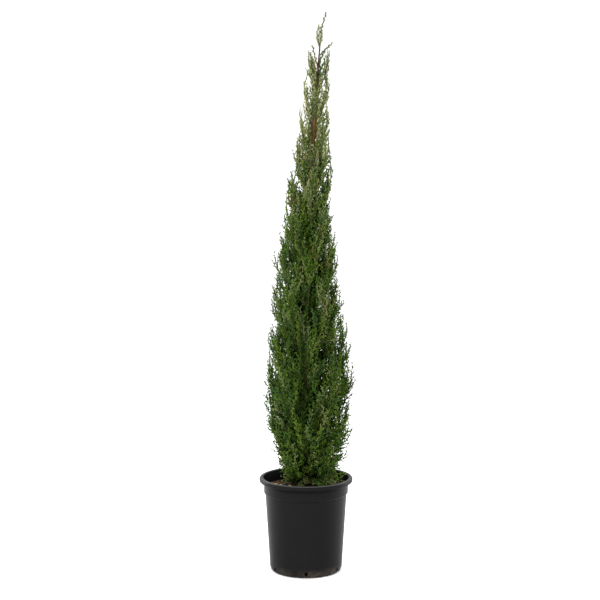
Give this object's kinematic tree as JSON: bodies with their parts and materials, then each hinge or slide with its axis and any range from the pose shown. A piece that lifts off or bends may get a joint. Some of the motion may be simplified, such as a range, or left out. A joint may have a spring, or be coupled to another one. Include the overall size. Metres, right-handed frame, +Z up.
{
  "type": "potted italian cypress tree",
  "caption": "Young columnar cypress: one leaning trunk with upright plumes of scale-leaved foliage, in a black plastic nursery pot filled with bark mix.",
  "frame": {"origin": "centre of the pot's flat underside, on the ground it stands on", "axes": "+Z up along the trunk, +Y away from the pictured side, +X to the picture's right, the side that the leader leans to"},
  "size_m": [0.1912, 0.19, 1.1311],
  "materials": {
    "pot": "satin",
    "soil": "matte",
    "bark": "matte",
    "foliage": "matte"
  },
  "bodies": {
    "root": {"bough_03_1": "bark", "bough_03_2": "bark", "bough_03_3": "bark", "bough_03_4": "bark", "bough_03_5": "bark", "leader_tip": "foliage", "plume_01_1": "foliage", "plume_01_2": "foliage", "plume_01_3": "foliage", "plume_01_4": "foliage", "plume_01_5": "foliage", "plume_02_1": "foliage", "plume_02_2": "foliage", "plume_02_3": "foliage", "plume_02_4": "foliage", "plume_02_5": "foliage", "plume_03_1": "foliage", "plume_03_2": "foliage", "plume_03_3": "foliage", "plume_03_4": "foliage", "plume_03_5": "foliage", "plume_04_1": "foliage", "plume_04_2": "foliage", "plume_04_3": "foliage", "plume_04_4": "foliage", "plume_04_5": "foliage", "plume_05_1": "foliage", "plume_05_2": "foliage", "plume_05_3": "foliage", "plume_05_4": "foliage", "plume_05_5": "foliage", "plume_06_1": "foliage", "plume_06_2": "foliage", "plume_06_3": "foliage", "plume_06_4": "foliage", "plume_06_5": "foliage", "plume_07_1": "foliage", "plume_07_2": "foliage", "plume_07_3": "foliage", "plume_07_4": "foliage", "plume_08_1": "foliage", "plume_08_2": "foliage", "plume_08_3": "foliage", "plume_08_4": "foliage", "plume_09_1": "foliage", "plume_09_2": "foliage", "plume_09_3": "foliage", "plume_09_4": "foliage", "plume_10_1": "foliage", "plume_10_2": "foliage", "plume_10_3": "foliage", "plume_11_1": "foliage", "plume_11_2": "foliage", "plume_12_1": "foliage", "plume_12_2": "foliage", "pot": "pot", "soil": "soil", "trunk": "bark"}
  },
  "joints": []
}
